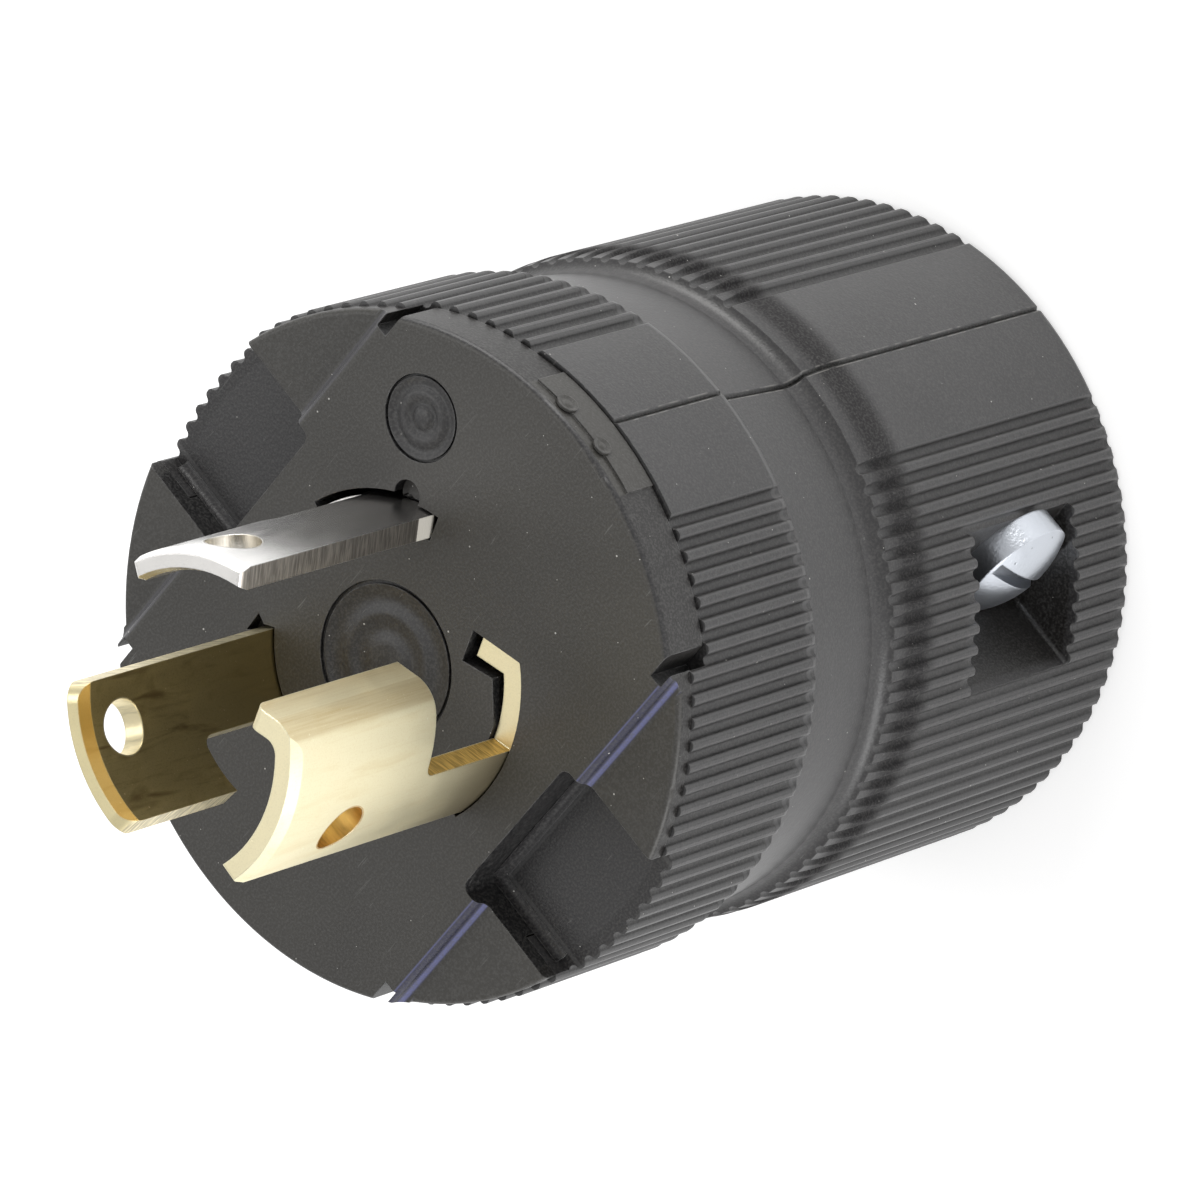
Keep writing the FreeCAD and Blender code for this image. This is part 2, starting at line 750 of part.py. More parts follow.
retainer = new_body("core_retainer")
plate_sketch = new_sketch(retainer, "plate_outline", "XY_Plane", retainer_floor)
circle(plate_sketch, (0, 0), retainer_radius)
for turn in (size.neutral_turn, size.line_turn, size.ground_turn):
    circle(plate_sketch, polar(wire_hole_reach, turn), size.wire_hole_radius)
extrude(retainer, "Pad", "plate", plate_sketch, size.retainer_thickness)


# blades: curved sheet with lock notch, hole, bevelled end and a flat tail

def locking_blade(label, turn, span, reach, corner, hooked=False):
    body = new_body(label)
    low = -span / 2
    high = span / 2
    slant = size.side_slant
    blade_top = size.body_length + reach
    lock_top = size.body_length + size.lock_height
    sketch = new_sketch(body, "sheet_outline", "XY_Plane", blade_foot)
    outside = polar(size.blade_outer, low + slant)
    if hooked:
        root = polar(blade_inner, size.hook_root)
        tip = hook_points(size.fit_gap * 0, size.fit_gap * 0)
        outline(sketch, [(outside[0], outside[1], size.blade_outer), polar(size.blade_outer, high),
                         tip[0], tip[1], (root[0], root[1], -blade_inner), polar(blade_inner, low)])
    else:
        inside = polar(blade_inner, high)
        outline(sketch, [(outside[0], outside[1], size.blade_outer),
                         polar(size.blade_outer, high - slant),
                         (inside[0], inside[1], -blade_inner), polar(blade_inner, low)])
    extrude(body, "Pad", "curved_sheet", sketch, blade_top - blade_foot)

    lock_foot = size.body_length - size.lock_floor
    sketch = new_sketch(body, "lock_notch_outline", "XY_Plane", lock_foot)
    reach_in = size.blade_outer - size.blade_thickness * 5
    notch_start = low + size.neck_span
    notch_end = high + size.neck_span * 1.2
    ring_sector(sketch, reach_in, size.blade_outer + 1.0, notch_start, notch_end)
    shaped = extrude(body, "Pocket", "lock_notch", sketch, size.lock_height + size.lock_floor, upward=True)

    def azimuth(point):
        return math.degrees(math.atan2(point.y, point.x))

    def in_lock_corner(point):
        return near(point.z, lock_top) and near(azimuth(point), notch_start)

    shaped = dress(body, "Fillet", "lock_round", shaped, edges_where(shaped, in_lock_corner),
                   size.lock_round)

    if hooked:
        bend = polar(size.blade_outer, high)
        head_floor = size.body_length.value + 0.1

        def on_head_bend(point):
            return near(point.x, bend[0]) and near(point.y, bend[1]) and point.z > head_floor

        def on_base_bend(point):
            return near(point.x, bend[0]) and near(point.y, bend[1]) and point.z < head_floor

        def on_inner_bend(point):
            return near(point.x, root[0]) and near(point.y, root[1]) and point.z > head_floor

        for name, wanted, radius in (("head_bend", on_head_bend, size.hook_bend),
                                     ("base_bend", on_base_bend, size.hook_base_bend),
                                     ("inner_bend", on_inner_bend, size.hook_inner_bend)):
            shaped = dress(body, "Fillet", name, shaped, edges_where(shaped, wanted), radius)

        def on_hook_tip(point):
            reached = math.hypot(point.x - bend[0].value, point.y - bend[1].value)
            return near(point.z, blade_top) and reached > size.hook_length.value - 0.01 and point.y > 0

        tip_edges = edges_where(shaped, on_hook_tip)
        shaped = dress(body, "Fillet", "hook_tip_round", shaped, tip_edges, size.hook_tip_round)

    def on_end_corner(point):
        angle = azimuth(point)
        at_low = plain(low) - 0.01 < angle < plain(low + slant) + 0.01
        at_high = plain(high - slant) - 0.01 < angle < plain(high) + 0.01 and not hooked
        return near(point.z, blade_top) and (at_low or at_high)

    corners = edges_where(shaped, on_end_corner)
    dress(body, "Fillet", "end_corners", shaped, corners, corner)

    sketch = new_sketch(body, "hole_outline", "YZ_Plane", tilt=low + size.hole_angle)
    circle(sketch, (0, size.body_length + size.hole_height), size.hole_radius)
    extrude(body, "Pocket", "hole", sketch, both=True)

    sketch = new_sketch(body, "bevel_outline", "XZ_Plane")
    start = blade_top - size.bevel_length
    inner_edge = blade_inner + size.bevel_depth
    outer_edge = size.blade_outer - size.bevel_depth
    outline(sketch, [(size.blade_outer, start), (beyond_body, start), (beyond_body, blade_top),
                     (outer_edge, blade_top)])
    if not hooked:
        outline(sketch, [(blade_inner, start), (inner_edge, blade_top),
                         (terminal_nut_face, blade_top), (terminal_nut_face, start)])
    revolve(body, "Groove", "end_bevels", sketch)

    sketch = new_sketch(body, "tail_outline", "XY_Plane", size.spigot_end)
    rectangle(sketch, tail_inner, tail_outer, -size.tail_half, size.tail_half)
    extrude(body, "Pad", "tail", sketch, tail_top - size.spigot_end)

    sketch = new_sketch(body, "tail_hole_outline", "YZ_Plane")
    circle(sketch, (0, size.terminal_height), size.terminal_shank_radius + size.fit_gap)
    extrude(body, "Pocket", "tail_hole", sketch, both=True)
    turn_about_axis(body, turn)
    return body


locking_blade("neutral_blade", size.neutral_turn, size.neutral_span, size.blade_reach,
              size.neutral_corner)
locking_blade("line_blade", size.line_turn, size.line_span, size.blade_reach, size.line_corner)
locking_blade("ground_blade", size.ground_turn, size.ground_span, size.ground_reach,
              size.ground_corner, hooked=True)


# screws, clamp plates and nuts

def pan_screw(label, head_radius, head_height, shank_radius, length):
    """A screw with a domed head above Z = 0 and its shank below."""
    body = new_body(label)
    sketch = new_sketch(body, "screw_outline", "XZ_Plane")
    rim = head_height * size.rim_share
    dome = head_height - rim
    crown = (head_radius * head_radius + dome * dome) / (dome * 2)
    outline(sketch, [(0, -length), (shank_radius, -length), (shank_radius, 0), (head_radius, 0),
                     (head_radius, rim, crown), (0, head_height)])
    revolve(body, "Revolution", "turned_blank", sketch)
    sketch = new_sketch(body, "drive_outline", "XY_Plane", head_height, size.drive_turn)
    half = size.drive_width / 2
    rectangle(sketch, -head_radius - 0.2, head_radius + 0.2, -half, half)
    extrude(body, "Pocket", "drive_slot", sketch, size.drive_depth)
    return body


def square_plate(label, side, thickness, hole_radius):
    """A square plate or nut, centred on Z, from Z = 0 upward."""
    body = new_body(label)
    sketch = new_sketch(body, "plate_outline", "XY_Plane")
    half = side / 2
    rectangle(sketch, -half, half, -half, half)
    circle(sketch, (0, 0), hole_radius)
    extrude(body, "Pad", "plate", sketch, thickness)
    return body


def place(body, point, rotation):
    """Puts a body at a point given by sizes, with its own Z axis turned by a rotation."""
    position = FreeCAD.Vector(*[plain(value) for value in point])
    body.Placement = FreeCAD.Placement(position, rotation)
    for axis, value in zip("xyz", point):
        if isinstance(value, Size):
            body.setExpression(".Placement.Base." + axis, value.formula)


def radial_rotation(turn):
    """Lays the body's Z axis along the outward direction at an azimuth."""
    spin = FreeCAD.Rotation(FreeCAD.Vector(0, 0, 1), turn.value)
    return spin * FreeCAD.Rotation(FreeCAD.Vector(0, 1, 0), 90)


def radial_point(reach, turn):
    across = polar(reach, turn)
    return (across[0], across[1], size.terminal_height)


for blade, turn in (("neutral", size.neutral_turn), ("line", size.line_turn),
                    ("ground", size.ground_turn)):
    rotation = radial_rotation(turn)
    screw = pan_screw(blade + "_terminal_screw", size.terminal_head_radius, size.terminal_head_height,
                      size.terminal_shank_radius, terminal_shank_length)
    place(screw, radial_point(plate_outer, turn), rotation)
    clamp = square_plate(blade + "_clamp_plate", size.plate_side, size.plate_thickness,
                         size.terminal_shank_radius + size.thread_gap)
    place(clamp, radial_point(plate_start, turn), rotation)
    nut = square_plate(blade + "_terminal_nut", size.terminal_nut_side, size.terminal_nut_thickness,
                       size.terminal_shank_radius + size.thread_gap)
    place(nut, radial_point(terminal_nut_face, turn), rotation)

for letter, side in (("a", 1), ("b", -1)):
    outward = FreeCAD.Rotation(FreeCAD.Vector(1, 0, 0), 90 * side)
    screw = pan_screw("assembly_screw_" + letter, size.head_radius, size.head_height,
                      size.shank_radius, screw_length)
    place(screw, (screw_x * side, pocket_floor * -side, screw_z), outward)
    nut = square_plate("assembly_nut_" + letter, size.nut_side, size.nut_thickness,
                       size.shank_radius + size.thread_gap)
    place(nut, (screw_x * side, nut_end * side, screw_z), outward)


# rebuild, check every feature, and write one file for each piece

doc.recompute()
problems = []
for item in doc.Objects:
    if "Invalid" in item.State or "Error" in item.State:
        problems.append("%s: %s" % (item.Label, item.State))
    if item.isDerivedFrom("PartDesign::Body"):
        if item.Shape.isNull() or not item.Shape.isValid():
            problems.append("%s: bad shape" % item.Label)
        if len(item.Shape.Solids) != 1:
            problems.append("%s: %d solids" % (item.Label, len(item.Shape.Solids)))
if problems:
    raise RuntimeError("; ".join(problems))

os.makedirs("parts", exist_ok=True)
for item in doc.Objects:
    if item.isDerivedFrom("PartDesign::Body"):
        item.Shape.exportStep("parts/%s.step" % item.Label)
        box = item.Shape.BoundBox
        print("%s %.1f mm3  x %.2f %.2f  y %.2f %.2f  z %.2f %.2f"
              % (item.Label, item.Shape.Volume, box.XMin, box.XMax,
                 box.YMin, box.YMax, box.ZMin, box.ZMax))
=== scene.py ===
import math

import bpy
from mathutils import Matrix, Vector


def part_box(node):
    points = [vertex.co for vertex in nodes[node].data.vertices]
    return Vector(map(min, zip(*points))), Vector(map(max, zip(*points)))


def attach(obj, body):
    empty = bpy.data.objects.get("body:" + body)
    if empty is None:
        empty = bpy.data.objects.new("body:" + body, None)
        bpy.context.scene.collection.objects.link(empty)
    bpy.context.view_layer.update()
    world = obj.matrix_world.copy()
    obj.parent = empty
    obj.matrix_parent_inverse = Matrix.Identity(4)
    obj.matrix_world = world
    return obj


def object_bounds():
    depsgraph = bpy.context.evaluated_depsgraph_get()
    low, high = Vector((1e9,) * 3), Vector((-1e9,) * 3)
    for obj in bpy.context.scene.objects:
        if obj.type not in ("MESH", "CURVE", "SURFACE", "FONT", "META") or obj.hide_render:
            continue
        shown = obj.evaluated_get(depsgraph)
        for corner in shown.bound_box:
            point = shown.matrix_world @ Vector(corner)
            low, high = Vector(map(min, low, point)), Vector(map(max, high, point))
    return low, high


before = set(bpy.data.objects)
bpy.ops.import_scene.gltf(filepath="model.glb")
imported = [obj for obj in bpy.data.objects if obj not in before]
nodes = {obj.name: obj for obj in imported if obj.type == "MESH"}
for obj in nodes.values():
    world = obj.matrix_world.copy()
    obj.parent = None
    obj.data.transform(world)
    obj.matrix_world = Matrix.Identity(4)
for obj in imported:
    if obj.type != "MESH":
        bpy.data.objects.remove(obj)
cad_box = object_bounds()

# The studio: the plug stands on its flat cord end on a pale floor. The camera
# looks down at the blades from one side, rolled so that the plug lies across
# the picture, in the even light of a white room with three soft lamps.
camera_turn = Matrix(((0.53639, 0.62896, 0.56276),
                      (-0.59084, 0.75599, -0.28176),
                      (-0.60265, -0.18138, 0.77712)))
camera_place = Vector((0.274506, -0.137593, 0.403373))
half_picture_pixels = 600
focal_pixels = 8936.05
film_width = 36.0
plug_middle = Vector((0.0, 0.0, 0.030))
room_light = 0.68
floor_shade = (0.8, 0.8, 0.8)
floor_glow = 0.45
white = (1.0, 1.0, 1.0)

bpy.ops.object.select_all(action="DESELECT")
bpy.ops.object.camera_add()
camera = bpy.context.object
camera.name = "studio_camera"
camera.matrix_world = Matrix.Translation(camera_place) @ camera_turn.to_4x4()
camera.data.sensor_width = film_width
camera.data.lens = film_width / 2 * focal_pixels / half_picture_pixels
camera.data.clip_start = 0.01
camera.data.clip_end = 10.0
scene = bpy.context.scene
scene.camera = camera
scene.view_settings.view_transform = "Standard"


def soft_lamp(name, right, up, near, size, power, tint):
    """A softbox placed by the picture's own directions and aimed at the plug."""
    bpy.ops.object.light_add(type="AREA")
    lamp = bpy.context.object
    lamp.name = name
    picture_right, picture_up, to_camera = camera_turn.col[0], camera_turn.col[1], camera_turn.col[2]
    away = picture_right * right + picture_up * up + to_camera * near
    lamp.location = plug_middle + away
    lamp.rotation_mode = "QUATERNION"
    lamp.rotation_quaternion = (-away).to_track_quat("-Z", "Y")
    lamp.data.shape = "RECTANGLE"
    lamp.data.size, lamp.data.size_y = size
    lamp.data.energy = power
    lamp.data.color = tint


soft_lamp("top_softbox", right=-0.05, up=0.50, near=0.12, size=(0.40, 0.25), power=2.4,
          tint=(1.0, 0.99, 0.97))
soft_lamp("left_softbox", right=-0.50, up=0.05, near=0.20, size=(0.25, 0.40), power=0.6, tint=white)
soft_lamp("low_softbox", right=0.25, up=-0.45, near=0.30, size=(0.35, 0.25), power=1.8, tint=white)


class Socket:
    """A shader value that can be used in ordinary sums."""

    def __init__(self, graph, link):
        self.graph = graph
        self.link = link

    def joined(self, other, operation, swapped=False):
        pair = (other, self) if swapped else (self, other)
        return self.graph.node("Math", {"operation": operation}, {0: pair[0], 1: pair[1]})

    def __add__(self, other):
        return self.joined(other, "ADD")

    def __radd__(self, other):
        return self.joined(other, "ADD", True)

    def __sub__(self, other):
        return self.joined(other, "SUBTRACT")

    def __rsub__(self, other):
        return self.joined(other, "SUBTRACT", True)

    def __mul__(self, other):
        return self.joined(other, "MULTIPLY")

    def __truediv__(self, other):
        return self.joined(other, "DIVIDE")

    def __pow__(self, other):
        return self.joined(other, "POWER")

    def __abs__(self):
        return self.graph.node("Math", {"operation": "ABSOLUTE"}, {0: self})


class Graph:
    """The node graph of one material, or of the world."""

    def __init__(self, owner):
        owner.use_nodes = True
        self.tree = owner.node_tree
        self.tree.nodes.clear()

    def node(self, kind, settings=None, values=None, output=0):
        """One node: its settings first, then the values or links of its sockets."""
        made = self.tree.nodes.new("ShaderNode" + kind)
        for key, value in (settings or {}).items():
            setattr(made, key, value)
        for key, value in (values or {}).items():
            if isinstance(value, Socket):
                self.tree.links.new(value.link, made.inputs[key])
            elif isinstance(value, tuple) and made.inputs[key].type == "RGBA":
                made.inputs[key].default_value = (*value, 1.0)
            else:
                made.inputs[key].default_value = value
        if isinstance(output, tuple):
            return [Socket(self, made.outputs[name]) for name in output]
        return Socket(self, made.outputs[output]) if made.outputs else None


world = bpy.data.worlds.new("studio_world")
scene.world = world
sky = Graph(world)
straight, through = sky.node("LightPath", {}, {}, ("Is Camera Ray", "Is Transmission Ray"))
sky_light = sky.node("Background", {}, {"Color": white, "Strength": room_light})
sky_white = sky.node("Background", {}, {"Color": white, "Strength": 1.0})
sky_seen = sky.node("MixShader", {}, {0: straight + through, 1: sky_light, 2: sky_white})
sky.node("OutputWorld", {}, {"Surface": sky_seen})

bpy.ops.mesh.primitive_plane_add(size=6.0, location=(0, 0, cad_box[0][2]))
floor = bpy.context.object
floor.name = "pale_floor"
floor_paint = bpy.data.materials.new("pale_floor_paint")
graph = Graph(floor_paint)
straight, glossy, through = graph.node("LightPath", {}, {}, ("Is Camera Ray", "Is Glossy Ray",
                                                              "Is Transmission Ray"))
pale = graph.node("BsdfDiffuse", {}, {"Color": floor_shade})
glow = graph.node("Emission", {}, {"Color": white, "Strength": floor_glow})
lit = graph.node("AddShader", {}, {0: pale, 1: glow})
seen = graph.node("MixShader", {}, {0: straight + glossy + through, 1: pale, 2: lit})
graph.node("OutputMaterial", {}, {"Surface": seen})
floor.data.materials.append(floor_paint)

# The two halves of the body: moulded black nylon with a fine orange-peel skin,
# dust and small scuffs, and rows of grip ribs. They close round the core, meet
# in a bevelled joint line, and two screws draw them together.
millimetre = 0.001
face_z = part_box("face_core")[1][2] / millimetre
body_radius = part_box("housing_half_a")[1][0] / millimetre
rear_radius = body_radius - 0.35
front_edge = face_z - 12.3
rear_edge = 20.0
neck_crest = 30
pocket_low, pocket_high, pocket_rim = 4.0, 15.0, 17.9
lug_height = face_z - 3.0
lug_half_width, lug_inner_end = 4.4, 12.0
notch_radius = 18.1
joint_half_gap = 0.12

housing_shade = (0.031, 0.030, 0.031)
painted_groove_shade = (0.008, 0.007, 0.007)
painted_rib_flank_highlight = (0.11, 0.11, 0.11)
painted_shoulder_shade = (0.003, 0.002, 0.003)
painted_flange_lip_highlight = (0.14, 0.14, 0.14)
painted_pocket_shade = (0.005, 0.004, 0.003)
painted_lug_top_shade = (0.012, 0.011, 0.013)
lug_foot_gleam = (0.17, 0.17, 0.17)
painted_cove_shade = (0.006, 0.005, 0.006)
burr_shade = (0.30, 0.29, 0.27)
joint_dark = (0.003, 0.003, 0.002)
grain_shade = (0.085, 0.083, 0.080)
worn_and_highlit_edge_shade = (0.24, 0.24, 0.24)
scuff_shade = (0.30, 0.30, 0.29)
dust_shade = (0.60, 0.59, 0.56)


def paint_node(name, material):
    """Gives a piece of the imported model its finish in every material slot."""
    mesh = nodes[name].data
    if not mesh.materials:
        mesh.materials.append(material)
    for index in range(len(mesh.materials)):
        mesh.materials[index] = material


def fade(value, low, high):
    """Rises smoothly from 0 at the low value to 1 at the high one."""
    return value.graph.node("MapRange", {"interpolation_type": "SMOOTHSTEP"}, {0: value, 1: low, 2: high})


def between(value, low, high, soft):
    """1 inside a band of values, 0 outside it, with soft sides."""
    return fade(value, low - soft, low) * fade(value, high + soft, high)


def blend(factor, first, second):
    """The second colour over the first by a factor."""
    return factor.graph.node("Mix", {"data_type": "RGBA"}, {0: factor, 6: first, 7: second}, 2)


def toned(shade, share):
    """The same colour, darker or lighter by a share."""
    return tuple(min(part * share, 1.0) for part in shade)


def noise(place, scale, detail=2.0, distortion=0.0):
    """Soft clouds from 0 to 1, as many to the millimetre as the scale says."""
    return place.graph.node("TexNoise", {}, {"Vector": place, "Scale": scale, "Detail": detail,
                                             "Distortion": distortion}, "Fac")


def stretched(place, turn, stretch):
    """The same space turned and squeezed, for streaks and scratches."""
    return place.graph.node("Mapping", {}, {"Vector": place, "Rotation": turn, "Scale": stretch})


def hairs(place, turn, stretch, low, high):
    """Rare long thin marks that lie one way."""
    return fade(noise(stretched(place, turn, stretch), 1.0, 2.0), low, high)


def specks(place, spacing, radius, share):
    """Round grains, one in some of the cells of a loose grid."""
    distance, chance = place.graph.node("TexVoronoi", {}, {"Vector": place, "Scale": 1.0 / spacing},
                                        ("Distance", "Color"))
    near = fade(distance, radius / spacing, radius * 0.5 / spacing)
    return near * fade(chance, 1.0 - share, 1.02 - share)


def start_finish(name):
    """An empty material, its graph, and the place on the piece in millimetres."""
    material = bpy.data.materials.new(name)
    graph = Graph(material)
    place = graph.node("TexCoord", {}, {}, "Object")
    return material, graph, graph.node("VectorMath", {"operation": "SCALE"},
                                       {0: place, "Scale": 1.0 / millimetre})


def parts_of(vector):
    return vector.graph.node("SeparateXYZ", {}, {0: vector}, ("X", "Y", "Z"))


def round_the_axis(place):
    """The three parts of a place, and how far it lies from the plug's axis."""
    x, y, z = parts_of(place)
    return x, y, z, (x * x + y * y) ** 0.5


def eased(graph, radius):
    """The surface's direction with its sharp edges rounded, and how far each edge is turned."""
    rounded = graph.node("Bevel", {"samples": 3}, {"Radius": radius * millimetre})
    true = graph.node("NewGeometry", {}, {}, "Normal")
    same = graph.node("VectorMath", {"operation": "DOT_PRODUCT"}, {0: rounded, 1: true}, "Value")
    return rounded, fade(1 - same, 0.01, 0.10)


def close_finish(graph, base, roughness, relief, strength, depth, rounded, metallic=0.0):
    """Lays the relief on the surface and joins colour, gloss and relief in one shader."""
    normal = graph.node("Bump", {}, {"Height": relief, "Strength": strength,
                                     "Distance": depth * millimetre, "Normal": rounded})
    shader = graph.node("BsdfPrincipled", {}, {"Base Color": base, "Roughness": roughness,
                                               "Metallic": metallic, "Normal": normal})
    graph.node("OutputMaterial", {}, {"Surface": shader})


def finish_nylon(graph, place, base, dust_share, rough, edge_wear_and_highlight, peel):
    """Adds grain, dust, lint, and bright edges that are part wear and part painted highlight, to a nylon
    colour and closes its shader.
    """
    rounded, edge = eased(graph, 0.09)
    cloud = noise(place, 0.22, 4.0)
    skin = noise(place, 2.6, 3.0)
    grain = noise(place, 7.0, 2.0)
    base = blend(fade(grain, 0.38, 0.72) * 0.42, base, grain_shade)
    # Bright edges, partly wear and partly a painted highlight.
    chipped_and_highlit = edge * fade(noise(place, 1.3, 3.0), 0.38, 0.62) * edge_wear_and_highlight
    base = blend(chipped_and_highlit, base, worn_and_highlit_edge_shade)
    dust = specks(place, 1.4, 0.07, dust_share) + specks(place, 0.7, 0.04, dust_share * 0.7)
    lint = hairs(place, (0.5, 0.3, 0.9), (0.35, 5.0, 5.0), 0.735, 0.76)
    scrape = hairs(place, (1.1, 0.2, 2.1), (0.22, 6.0, 3.0), 0.72, 0.76)
    base = blend(lint * 0.18 + scrape * 0.12, base, scuff_shade)
    base = blend(dust * 0.8, base, dust_shade)
    roughness = rough + cloud * 0.10 + grain * 0.08 + dust * 0.2
    relief = skin * peel + grain * 0.9 + dust * 0.6
    close_finish(graph, base, roughness, relief, 0.28, 0.05, rounded)


housing_nylon, graph, place = start_finish("housing_nylon")
x, y, z, radius = round_the_axis(place)
base = blend(noise(place, 0.18, 4.0), toned(housing_shade, 0.75), toned(housing_shade, 1.3))

# How deep a point lies below the crests of the ribs. The neck has none, so its
# crest lies far out.
front_zone = fade(z, front_edge - 0.1, front_edge + 0.1)
rear_zone = fade(z, rear_edge + 0.6, rear_edge)
crest = front_zone * body_radius + rear_zone * rear_radius + (1 - front_zone - rear_zone) * neck_crest
depth = crest - radius
# Painted shade in the grooves of the ribs.
base = blend(between(depth, 0.24, 1.0, 0.12) * 0.5, base, painted_groove_shade)
# A painted highlight on the flanks of the ribs.
base = blend(between(depth, 0.05, 0.14, 0.04) * 0.35, base, painted_rib_flank_highlight)
# A painted dark band of shade on the shoulder behind the neck, where the nylon is also made rougher.
shoulder = between(z, rear_edge - 0.1, rear_edge + 0.9, 1.5) * fade(radius, 17.0, 17.6)
base = blend(shoulder * 0.9, base, painted_shoulder_shade)
# A painted highlight along the rear lip of the front flange.
flange_lip = between(z, front_edge - 0.25, front_edge - 0.05, 0.12)
base = blend(flange_lip * 0.35, base, painted_flange_lip_highlight)
# Painted shade inside the pockets.
pocket = fade(radius, pocket_rim + 0.25, pocket_rim) * between(z, pocket_low, pocket_high, 1.0)
base = blend(pocket * 0.85, base, painted_pocket_shade)

# Painted shade on the tops of the lugs, a faint painted highlight along their feet, and painted shade in
# the coves there.
lug_top = between(z, lug_height - 0.05, lug_height + 0.05, 0.02)
long_foot = between(abs(x), lug_half_width - 0.05, lug_half_width + 0.10, 0.12) \
    * fade(abs(y), lug_inner_end - 0.1, lug_inner_end + 0.1)
end_foot = between(abs(y), lug_inner_end + 0.05, lug_inner_end + 0.20, 0.12) \
    * fade(abs(x), lug_half_width + 0.1, lug_half_width - 0.1)
cove = between(z, lug_height + 0.07, lug_height + 0.70, 0.04) \
    * fade(radius, notch_radius + 0.2, notch_radius)
base = blend(lug_top * 0.30, base, painted_lug_top_shade)
base = blend(lug_top * (long_foot + end_foot) * 0.2, base, lug_foot_gleam)
base = blend(cove * 0.75, base, painted_cove_shade)

# The joint line of the two halves, with a worn burr on both sides.
from_joint = abs(y)
burr = between(from_joint, joint_half_gap + 0.05, joint_half_gap + 0.10, 0.03) \
    * fade(noise(place, 1.2, 2.0), 0.42, 0.60)
base = blend(burr * 0.4, base, burr_shade)
base = blend(fade(from_joint, joint_half_gap + 0.03, joint_half_gap - 0.03), base, joint_dark)
finish_nylon(graph, place, base, dust_share=0.45, rough=shoulder * 0.45 + 0.29, edge_wear_and_highlight=0.30, peel=1.0)
for name in ("housing_half_a", "housing_half_b"):
    paint_node(name, housing_nylon)

# The core: the same black nylon, a little browner and finer on its face. It is
# moulded in one piece with the blade slots, and a back plate closes it from
# behind. The halves hold it by a groove round its spigot.
mark_floor = face_z - 0.25
pad_half_width = 3.95
band_foot = 18.0
ramp_start, ramp_end = body_radius - 6.85, body_radius - 5.8
ramp_gleams = ((0.14, 0.24), (0.68, 0.78))

core_shade = (0.034, 0.032, 0.028)
painted_recess_shade = (0.015, 0.015, 0.018)
painted_band_side_shade = (0.004, 0.003, 0.003)
painted_wall_shade = (0.004, 0.004, 0.005)
painted_low_ramp_reflection = (0.032, 0.033, 0.070)
gleam_blue = (0.13, 0.14, 0.30)
painted_high_ramp_highlight = (0.07, 0.07, 0.085)

core_nylon, graph, place = start_finish("core_nylon")
x, y, z, radius = round_the_axis(place)
facing_z = parts_of(graph.node("NewGeometry", {}, {}, "Normal"))[2]
upright = fade(abs(facing_z), 0.5, 0.2)
base = blend(noise(place, 0.20, 4.0), toned(core_shade, 0.8), toned(core_shade, 1.25))

# Painted shade on the floors of the round recesses, on the band beside its pad, and on the walls of the
# notches.
sunk = between(z, mark_floor - 0.01, face_z - 0.05, 0.02) * fade(abs(y), ramp_start, ramp_start - 0.1)
base = blend(sunk * 0.7, base, painted_recess_shade)
on_band = fade(radius, band_foot, band_foot + 0.3)
beside_pad = fade(abs(y), pad_half_width - 0.03, pad_half_width + 0.03)
base = blend(upright * beside_pad * on_band * 0.9, base, painted_band_side_shade)
base = blend(upright * fade(radius, band_foot + 0.3, band_foot) * 0.9, base, painted_wall_shade)

# The slopes up to the shelves: on the low one a painted blue reflection with two painted blue gleams, on
# the high one a pale painted highlight.
on_ramp = fade(facing_z, 0.97, 0.90) * fade(facing_z, 0.25, 0.35)
up_low_ramp = y * -1 - ramp_start
gleam = sum(between(up_low_ramp, low, high, 0.10) for low, high in ramp_gleams)
low_ramp = between(y * -1, ramp_start, ramp_end, 0.08) * on_ramp
base = blend(low_ramp * 0.75, base, blend(gleam, painted_low_ramp_reflection, gleam_blue))
high_ramp = between(y, ramp_start, ramp_end, 0.08) * on_ramp
base = blend(high_ramp * 0.5, base, painted_high_ramp_highlight)
finish_nylon(graph, place, base, dust_share=0.60, rough=0.34, edge_wear_and_highlight=0.55, peel=0.5)
for name in ("face_core", "core_retainer"):
    paint_node(name, core_nylon)

# Round mould marks of the core: a bare dished insert in each of the two shallow
# rounds of the face, and two small ejector beads on the pad of the band. They
# are the core's own nylon, left by the mould.
mark_height = 0.20
bead_thickness = 0.17
band_inset, pad_rise, bead_lift = 0.25, 0.12, 0.03
bead_height = face_z - 1.1


def round_blank(radius, height, middle, corners, turn=(0.0, 0.0, 0.0)):
    """A disc to be shaped, at its size and place in millimetres."""
    bpy.ops.object.select_all(action="DESELECT")
    bpy.ops.mesh.primitive_cylinder_add(
        vertices=corners, radius=radius * millimetre, depth=height * millimetre,
        location=[part * millimetre for part in middle], rotation=turn)
    return bpy.context.object


def open_mesh(piece, kind, wanted):
    """Opens a piece for editing with the wanted faces or edges selected, and nothing else."""
    mesh = piece.data
    for part in (*mesh.vertices, *mesh.edges, *mesh.polygons):
        part.select = False
    for part in (mesh.polygons if kind == "FACE" else mesh.edges):
        part.select = wanted(part)
    bpy.ops.object.mode_set(mode="EDIT")
    bpy.ops.mesh.select_mode(type=kind)


def apply_place():
    bpy.ops.object.transform_apply(location=True, rotation=True, scale=True)


def inset_steps(piece, steps):
    """Insets the face on top again and again, each time by a width and a rise."""
    open_mesh(piece, "FACE", lambda face: face.normal.z > 0.9)
    for width, rise in steps:
        bpy.ops.mesh.inset(thickness=width * millimetre, depth=rise * millimetre)
    bpy.ops.object.mode_set(mode="OBJECT")


